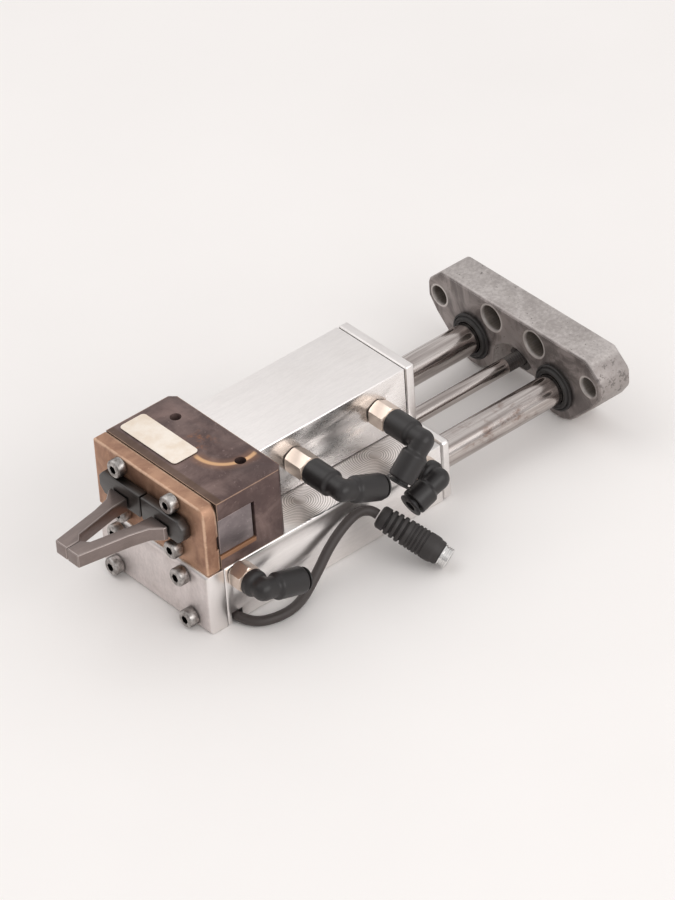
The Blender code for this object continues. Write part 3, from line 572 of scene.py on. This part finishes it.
def worn_bronze(name, dark, light, worn, low, high, edge_width, roughness=0.42, arc=False):
    """Anodised bronze finish: mottled, stained, and rubbed bright along the edges between two corners of a block."""
    look = Look(name, dark, 0.7, roughness)
    cloud = look.noise(85, 6, 0.66, distort=0.6)
    streak = look.noise(50, 5, 0.6, (0.35, 1.6, 1.0), at=(5, 2, 0))
    fine = look.noise(900, 4, 0.7)
    share = look.math("ADD", look.math("MULTIPLY", cloud, 0.55), look.math("MULTIPLY", streak, 0.45))
    tone = look.mix(look.step(share, 0.38, 0.62), rgb(*dark), rgb(*light))
    speck = look.step(look.noise(700, 3, 0.6), 0.62, 0.75, 0.0, 0.5)
    tone = look.mix(speck, tone, rgb(*[min(255, c + 28) for c in light]))
    rubbed = look.edge(low, high, edge_width)
    if arc:
        ring = look.math("ABSOLUTE", look.math("SUBTRACT", look.radius((-24.3, -5.3, 0)), 12.1))
        sector = look.math("MULTIPLY", look.step(look.axis("Y"), -2.0, -5.0), look.step(look.axis("X"), -19.5, -21.0))
        sector = look.math("MULTIPLY", sector, look.step(look.axis("Z"), 53.2, 53.5))
        core = look.math("MULTIPLY", look.step(ring, 1.25, 0.35), sector)
        glow = look.math("MULTIPLY", look.step(ring, 4.2, 0.4, 0.0, 0.5), sector)
        tone = look.mix(glow, tone, rgb(156, 116, 92))
        tone = look.mix(core, tone, rgb(222, 178, 136))
        strip = look.math("MULTIPLY", look.step(look.axis("Z"), 29.3, 29.7), look.step(look.axis("Z"), 31.6, 31.3))
        strip = look.math("MULTIPLY", strip, look.step(look.axis("Y"), -27.0, -29.0))
        strip = look.math("MULTIPLY", strip, look.step(look.axis("X"), -32.6, -33.4))
        tone = look.mix(look.math("MULTIPLY", strip, 0.8), tone, rgb(176, 130, 96))
        band = look.math("MULTIPLY", look.step(look.axis("X"), -45.6, -46.6), look.step(look.axis("Z"), 53.2, 53.5))
        tone = look.mix(look.math("MULTIPLY", band, 0.6), tone, rgb(92, 72, 56))
        spot = look.step(look.radius((-31.5, 2.0, 0)), 10.0, 1.0, 0.0, 0.8)
        spot = look.math("MULTIPLY", spot, look.step(look.noise(260, 5, 0.7), 0.5, 0.7))
        spot = look.math("MULTIPLY", spot, look.step(look.axis("Z"), 53.2, 53.5))
        tone = look.mix(spot, tone, rgb(166, 112, 78))
    tone = look.mix(look.math("MULTIPLY", rubbed, 0.85), tone, rgb(*worn))
    look.colour(tone)
    look.roughness(look.math("ADD", roughness - 0.08, look.math("MULTIPLY", look.math("ADD", fine, cloud), 0.09)))
    look.bump(fine, 0.004)
    look.bump(cloud, 0.02)
    return look


def cast_grey():
    """Blasted and oily cast aluminium."""
    look = Look("cast_yoke", (146, 142, 139), 0.8, 0.5)
    coarse = look.noise(800, 6, 0.68)
    fine = look.noise(2200, 4, 0.7)
    stain = look.noise(60, 5, 0.6, distort=0.8)
    pits = look.step(look.noise(650, 2, 0.5, at=(9, 4, 2)), 0.66, 0.74)
    share = look.math("ADD", look.math("MULTIPLY", coarse, 0.5), look.math("MULTIPLY", stain, 0.5))
    tone = look.mix(look.step(share, 0.38, 0.64), rgb(168, 161, 158), rgb(204, 198, 195))
    front = look.step(look.axis("X"), 114.4, 113.8)
    oily = look.mix(look.step(look.noise(75, 6, 0.65, distort=0.8, at=(0, 6, 3)), 0.40, 0.62), rgb(96, 88, 86), rgb(156, 147, 144))
    tone = look.mix(look.math("MULTIPLY", front, 0.85), tone, oily)
    for y, z, radius in ((-40.2, 23.0, 4.0), (40.2, 23.0, 4.0), (-11.5, 27.3, 5.2), (11.5, 27.3, 5.2)):
        away = look.bore(y, z)
        # Painted shade inside each bore of the front face.
        inside = look.math("MULTIPLY", look.step(away, radius + 0.2, radius - 0.1), look.step(look.axis("X"), 113.9, 115.4))
        tone = look.mix(look.math("MULTIPLY", inside, 0.8), tone, rgb(96, 86, 74))
        # Painted highlight: a bright ring round the mouth of each bore on the front face.
        lip = look.math("MULTIPLY", look.step(away, radius + 0.85, radius + 0.5), look.step(look.axis("X"), 114.6, 114.0))
        tone = look.mix(look.math("MULTIPLY", lip, 0.75), tone, rgb(214, 208, 204))
    tone = look.mix(look.step(look.axis("Y"), -40.5, -42.5, 0.0, 0.6), tone, rgb(146, 138, 135))
    scraped = look.math("MULTIPLY", look.step(look.axis("Y"), -38.0, -41.0), look.step(look.noise(380, 4, 0.7), 0.56, 0.62))
    tone = look.mix(look.math("MULTIPLY", scraped, 0.7), tone, rgb(112, 106, 104))
    tone = look.mix(pits, tone, rgb(132, 126, 123))
    look.colour(tone)
    look.roughness(look.math("ADD", 0.42, look.math("MULTIPLY", coarse, 0.2)))
    look.bump(coarse, 0.05, 0.7)
    look.bump(fine, 0.02, 0.7)
    return look


def polished_rod(name, stains):
    look = Look(name, (196, 191, 187), 1.0, 0.13)
    turned = look.noise(240, 4, 0.7, (12.0, 1.0, 1.0))
    scuff = look.noise(140, 5, 0.65, (0.12, 3.0, 3.0), distort=0.2)
    tone = look.mix(look.step(scuff, 0.34, 0.66), rgb(158, 149, 145), rgb(206, 199, 195))
    if stains:
        brown = look.step(look.noise(95, 5, 0.7, (0.8, 1.2, 1.2), at=(0, 4, 0)), 0.5, 0.68)
        span = look.math("MULTIPLY", look.step(look.axis("X"), 60.0, 72.0), look.step(look.axis("X"), 108.0, 96.0))
        tone = look.mix(look.math("MULTIPLY", look.math("MULTIPLY", brown, span), 0.75), tone, rgb(118, 88, 74))
    look.colour(tone)
    look.roughness(look.math("ADD", 0.07, look.math("MULTIPLY", look.math("ADD", turned, scuff), 0.08)))
    look.bump(turned, 0.0003)
    return look


def zinc_screw(name):
    look = Look(name, (172, 168, 165), 1.0, 0.36)
    cloud = look.noise(500, 5, 0.65)
    fine = look.noise(2600, 3, 0.7)
    look.colour(look.mix(look.step(cloud, 0.35, 0.65), rgb(128, 123, 120), rgb(194, 190, 187)))
    look.roughness(look.math("ADD", 0.24, look.math("MULTIPLY", look.math("ADD", cloud, fine), 0.12)))
    look.bump(fine, 0.006)
    return look


def label_paper():
    look = Look("blank_paper_label", (240, 228, 214), 0.0, 0.6)
    cloud = look.noise(130, 5, 0.6)
    fibre = look.noise(3000, 3, 0.6)
    tone = look.mix(look.step(cloud, 0.35, 0.7), rgb(244, 234, 222), rgb(232, 216, 198))
    rim = look.edge((-45.0, -2.6, 50.0), (-33.7, 28.0, 58.0), 0.6, 0.8)
    tone = look.mix(look.math("MULTIPLY", rim, 0.35), tone, rgb(206, 184, 160))
    look.colour(tone)
    look.bump(fibre, 0.006)
    look.bump(cloud, 0.03)
    return look


# ---------------------------------------------------------------- pieces

def paint_socket_shade(obj, look, centre, axis, reach):
    """Paints shade inside a screw's socket by giving the faces there a darker material."""
    obj.data.materials.append(look.material)
    centre, axis = Vector(centre) * MM, Vector(axis)
    for face in obj.data.polygons:
        away = face.center - centre
        height = away.dot(axis)
        side = (away - axis * height).length
        if side < 1.75 * MM and height < -0.15 * MM and height > -reach * MM:
            face.material_index = 1


def cap_screw(node, look, dark, body="base"):
    """A socket cap screw with a knurled head, where the CAD has it."""
    low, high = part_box(node)
    low, high = low / MM, high / MM
    centre_y, centre_z = (low.y + high.y) / 2, (low.z + high.z) / 2
    seat = low.x + 4.0
    radius, length = 3.5, 4.0
    at, axis = (seat, centre_y, centre_z), (-1, 0, 0)
    shank = high.x - seat
    sides = 72
    head = lathe(node + "_part", [(0, length), (2.7, length), (3.05, length - 0.08), (3.35, length - 0.4),
                                  (radius, length - 0.6), (radius, 0.6), (3.4, 0.35), (2.0, 0.3),
                                  (2.0, -shank + 0.4), (1.6, -shank), (0, -shank)], at, axis, look, sides)
    spin = Vector(at) * MM
    for vert in head.data.vertices:
        away = vert.co - spin
        reach = math.hypot(away.y, away.z)
        if reach > 3.44 * MM:
            index = round(math.atan2(away.z, away.y) / (2 * math.pi / sides))
            if index % 2:
                vert.co.y = spin.y + away.y * 0.965
                vert.co.z = spin.z + away.z * 0.965
    top = Vector(at) + Vector(axis) * (length + 1)
    bottom = Vector(at) + Vector(axis) * (length - 2.2)
    boolean(head, rods("cutter", 1.7, [(bottom, top)], 6), "DIFFERENCE")
    smooth(head, 30)
    paint_socket_shade(head, dark, Vector(at) + Vector(axis) * length, axis, 2.4)
    stand_for(head, body, node)


def eased(r0, z0, r1, z1, steps=5):
    """Points of a smooth shoulder between two radii."""
    points = []
    for step in range(steps + 1):
        t = step / steps
        points.append((r0 + (r1 - r0) * (1 - math.cos(math.pi * t)) / 2, z0 + (z1 - z0) * t))
    return points


def elbow_arm(name, length, look, at, axis, lip=0.5):
    """One barrel of an elbow, from its open end at `length` back to a ball round the corner."""
    ball = 4.1
    shoulder = max(3.4, min(6.0, length - 2.4))
    points = [(0, length), (4.55, length), (4.85, length - 0.15), (4.97, length - lip)]
    points += eased(4.97, shoulder, 3.85, shoulder - 1.8)
    points += [(ball * math.cos(math.radians(turn)), -ball * math.sin(math.radians(turn)))
               for turn in (0, 20, 40, 60, 75)]
    return lathe(name, points + [(0, -ball)], at, axis, look, 56)


def elbow(letter, wall, neck, arm, angle, tube_arm, disc, looks):
    """One push-in elbow: its body, the release ring with a disc of radius `disc`, and its stem."""
    black, nickel = looks
    name = "fitting_" + letter
    wall, out = Vector(wall), Vector((0, -1, 0))
    along = Vector((math.cos(math.radians(angle)), 0, math.sin(math.radians(angle))))
    face = wall + out * neck
    corner = face + out * arm
    body = elbow_arm(name + "_body", arm - 0.3, black, corner, -out)
    branch = elbow_arm(name + "_arm", tube_arm, black, corner, along)
    boolean(body, branch, "UNION")
    remesh = body.modifiers.new("Mould", "REMESH")
    remesh.mode = "VOXEL"
    remesh.voxel_size = 0.22 * MM
    soften = body.modifiers.new("Soften", "SMOOTH")
    soften.factor = 0.5
    soften.iterations = 4
    bake(body)
    spigot = min(4.5, arm - 3.5)
    boolean(body, rods("cutter", 2.6, [(face - out, face + out * (spigot + 0.3))]), "DIFFERENCE")
    boolean(body, rods("cutter", 2.1, [(corner + along * 2, corner + along * (tube_arm + 1))]), "DIFFERENCE")
    boolean(body, rods("cutter", 3.5, [(corner + along * (tube_arm - 5), corner + along * (tube_arm + 1))]), "DIFFERENCE")
    smooth(body, 40)
    if not body.data.materials:
        body.data.materials.append(black.material)
    stand_for(body, "elbow_" + letter, name + "_elbow")
    ring = [(2.15, 1.7), (disc - 0.35, 1.7), (disc - 0.1, 1.6), (disc, 1.35), (disc - 0.1, 1.05), (disc - 0.5, 0.95),
            (3.25, 0.9), (3.2, -3.4), (2.1, -3.4), (2.1, 1.2)]
    collet = smooth(lathe(name + "_release_ring", ring, corner + along * tube_arm, along, black, 48, closed=True), 40)
    stand_for(collet, "collet_" + letter, name + "_collet")
    stem_piece(name, wall, out, neck, spigot, nickel)


def stem_piece(name, wall, out, neck, spigot, look):
    """A hexagon with turned corners, a low collar and two spigots."""
    flats = 9.0
    start, end = 0.3, neck - 0.35
    stem = rods(name + "_hexagon", flats / math.sqrt(3), [(wall + out * start, wall + out * end)], 6, look)
    top = end
    shape = [(0, top + 0.1), (4.55, top + 0.1), (5.2, top - 0.42), (5.2, start + 0.42), (4.55, start - 0.1), (0, start - 0.1)]
    boolean(stem, lathe("cutter", shape, wall, out, None, 48), "INTERSECT")
    turned = [(0, neck), (4.3, neck), (4.4, neck - 0.1), (4.4, neck - 1.0), (0, neck - 1.0)]
    boolean(stem, lathe("cutter", turned, wall, out, None, 48), "UNION")
    boolean(stem, rods("cutter", 2.2, [(wall - out * 1.5, wall + out * (neck + spigot))], 32), "UNION")
    boolean(stem, rods("cutter", 1.2, [(wall - out * 3, wall + out * (neck + spigot + 1))], 24), "DIFFERENCE")
    smooth(stem, 25)
    if not stem.data.materials:
        stem.data.materials.append(look.material)
    stand_for(stem, "base", name + "_stem")


def rod_piece(name, node, look, profile, at, body="carriage", sides=72):
    made = smooth(lathe(name, profile, at, (1, 0, 0), look, sides), 30)
    return stand_for(made, body, node)


def carriage_pieces(looks):
    for side, y, look in (("right", -22.4, looks["rod_right"]), ("left", 22.4, looks["rod_left"])):
        length = 113.0
        rod_piece("guide_bar_" + side, "guide_rod_" + side, look,
                  [(0, length), (5.4, length), (6.0, length - 0.6), (6.0, 0.6), (5.4, 0), (0, 0)], (12.0, y, 14.0))
        low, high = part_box("rod_bumper_" + side)
        bumper = [(6.3, 3.1), (9.0, 3.1), (9.3, 2.9), (9.35, 2.2), (9.15, 1.95), (8.6, 1.9), (8.4, 2.2), (8.2, 2.2), (8.05, 1.9),
                  (8.0, 1.3), (7.8, 1.0), (7.3, 0.95), (7.1, 1.2), (6.3, 1.3)]
        ring = smooth(lathe("bumper_" + side, bumper, (low.x / MM, y, 14.0), (1, 0, 0), looks["rubber"], 64, closed=True), 30)
        stand_for(ring, "carriage", "rod_bumper_" + side)
    start, end, thread_start = 30.0, 127.4, 109.0
    length, thread = end - start, thread_start - start
    profile = [(0, length), (2.5, length), (3.0, length - 0.5)]
    z = length - 0.8
    while z > thread + 0.6:
        profile += [(3.0, z), (2.55, z - 0.45), (2.55, z - 0.55)]
        z -= 1.0
    profile += [(3.0, thread), (3.0, 9.0), (2.4, 9.0), (2.4, 0), (0, 0)]
    bar = rod_piece("piston_bar", "piston_rod", looks["rod_thin"], profile, (start, 0, 14.0), sides=48)
    bar.data.materials.append(looks["dark_steel"].material)
    for face in bar.data.polygons:
        if face.center.x > (thread_start + 0.3) * MM:
            face.material_index = 1
    refine("rod_lock_nut", looks["dark_steel"], 0.2, body="carriage")
    # The yoke's rounded edges get the brighter rim look: a painted highlight.
    refine("yoke", looks["yoke"], 0.35, 2, body="carriage", angle=24, rim=looks["yoke_rim_highlight"])


def make_looks():
    looks = {
        "block": milled_block(),
        "cap": brushed("cover_metal", (238, 234, 232), 0.36, "Y", grain=0.02, blot=0.03, much=7, scale=110),
        "front": front_metal(),
        "ledge": ledge_aluminium(),
        "plate": worn_bronze("bronze_plate", (150, 112, 92), (190, 150, 124), (222, 188, 162),
                             (-55.2, -30, 25.3), (-49.4, 30, 53.7), 1.0, 0.46),
        "housing": worn_bronze("bronze_housing", (92, 75, 73), (132, 112, 107), (172, 142, 122),
                               (-49.1, -30, 25.3), (-18.8, 30, 53.7), 0.4, 0.44, arc=True),
        "side_cover": worn_bronze("bronze_cover", (122, 112, 113), (156, 145, 145), (164, 148, 142),
                                  (-48.7, -29.6, 31.4), (-33.6, -27.8, 46.2), 0.3, 0.34),
        "carrier": brushed("blued_steel", (92, 90, 89), 0.36, "Y", grain=0.05, blot=0.06, much=5),
        "finger": brushed("finger_steel", (138, 126, 122), 0.38, "X", grain=0.03, blot=0.06, much=6, scale=120),
        "finger_rim": brushed("finger_edge", (172, 162, 158), 0.3, "X", grain=0.03, blot=0.06),
        "yoke": cast_grey(),
        # Painted highlight for the yoke's rounded edges.
        "yoke_rim_highlight": brushed("yoke_edge_highlight", (206, 200, 197), 0.4, "X", grain=0.05, blot=0.06, much=1.5, scale=400),
        "rod_right": polished_rod("guide_bar_stained", True),
        "rod_left": polished_rod("guide_bar_clean", False),
        "rod_thin": polished_rod("piston_bar_steel", False),
        "zinc": zinc_screw("zinc_screw"),
        "socket": zinc_screw("socket_shadow"),
        "dark_steel": brushed("oiled_steel_and_seam_shade", (84, 80, 78), 0.4, "X", much=3),
        "nickel": brushed("warm_nickel", (228, 214, 202), 0.3, "Y", grain=0.02, blot=0.04, much=6, depth=0.0006),
        "plug_metal": brushed("bright_nickel", (232, 231, 230), 0.2, "Y", grain=0.03, blot=0.03, much=3),
        "black": moulded("black_fitting", (34, 31, 31), 0.42, 0.004, 1800, 0.10),
        "rubber": moulded("black_rubber", (40, 37, 36), 0.58, 0.010, 1500, 0.3),
        "grip": moulded("plug_rubber", (46, 42, 41), 0.56, 0.008, 1700, 0.25),
        "sheath": moulded("cable_sheath", (64, 57, 55), 0.52, 0.008, 1500, 0.3),
        "paper": label_paper(),
        "bronze_bush": brushed("bearing_bronze", (176, 142, 92), 0.35, "X"),
        "gold": brushed("gold_contact", (220, 184, 110), 0.25, "X"),
    }
    # The socket look is darkened: painted shade for the inside of the screw sockets.
    looks["socket"].colour(looks["socket"].mix(looks["socket"].noise(900), rgb(46, 44, 43), rgb(82, 79, 77)))
    return looks


def build():
    looks = make_looks()
    plug = make_plug(looks["grip"], looks["plug_metal"], looks["black"], looks["gold"])
    make_cable(looks["sheath"])
    # The dark steel look doubles as painted shade on the faces in the seams between blocks.
    seam_shade = looks["dark_steel"]
    for node, look, width, ways in (
            ("stroke_body", "ledge", 0.03, (1, -1)), ("front_cover", "front", 0.08, (1,)), ("rear_cover", "cap", 0.09, (-1,)),
            ("jaw_cylinder", "block", 0.04, (1, -1)), ("jaw_cylinder_cap", "cap", 0.09, (-1,)),
            ("gripper_plate", "plate", 0.12, (1,)), ("gripper_housing", "housing", 0.06, (-1, 1))):
        piece = refine(node, looks[look], width)
        paint_seam_shade(piece, node, seam_shade, *ways)
        if node == "gripper_plate":
            meet(piece, node, 0.25)
    refine("gripper_side_cover", looks["side_cover"], 0.1)
    refine("blank_label", looks["paper"], 0.06)
    refine("proximity_sensor", looks["black"], 0.1)
    for side in ("left", "right"):
        refine("jaw_" + side, looks["carrier"], 0.2, body=side + "_jaw")
        refine("finger_" + side, looks["finger"], 0.11, body=side + "_jaw", rim=looks["finger_rim"])
    for number in range(1, 5):
        cap_screw("front_screw_%d" % number, looks["zinc"], looks["socket"])
        cap_screw("head_screw_%d" % number, looks["zinc"], looks["socket"])
    carriage_pieces(looks)
    elbow("a", (-0.8, -12.9, 38.4), 9.5, 16.6, -24.0, 18.2, 4.4, (looks["black"], looks["nickel"]))
    elbow("b", (38.0, -12.9, 38.4), 8.2, 16.2, 225.0, 15.8, 4.45, (looks["black"], looks["nickel"]))
    elbow("c", (41.8, -30.0, 20.7), 3.8, 6.0, 199.0, 12.6, 4.7, (looks["black"], looks["nickel"]))
    elbow("d", (-42.2, -30.0, 20.7), 6.8, 7.0, -17.0, 17.4, 4.4, (looks["black"], looks["nickel"]))
    dress(looks["bronze_bush"], "guide_bush_left", "guide_bush_right", "rod_gland")
    dress(looks["cap"], "stroke_piston", "jaw_piston")
    dress(looks["rubber"], "stroke_piston_seal", "jaw_piston_seal")
    dress(looks["dark_steel"], "jaw_wedge")


make_studio()
build()
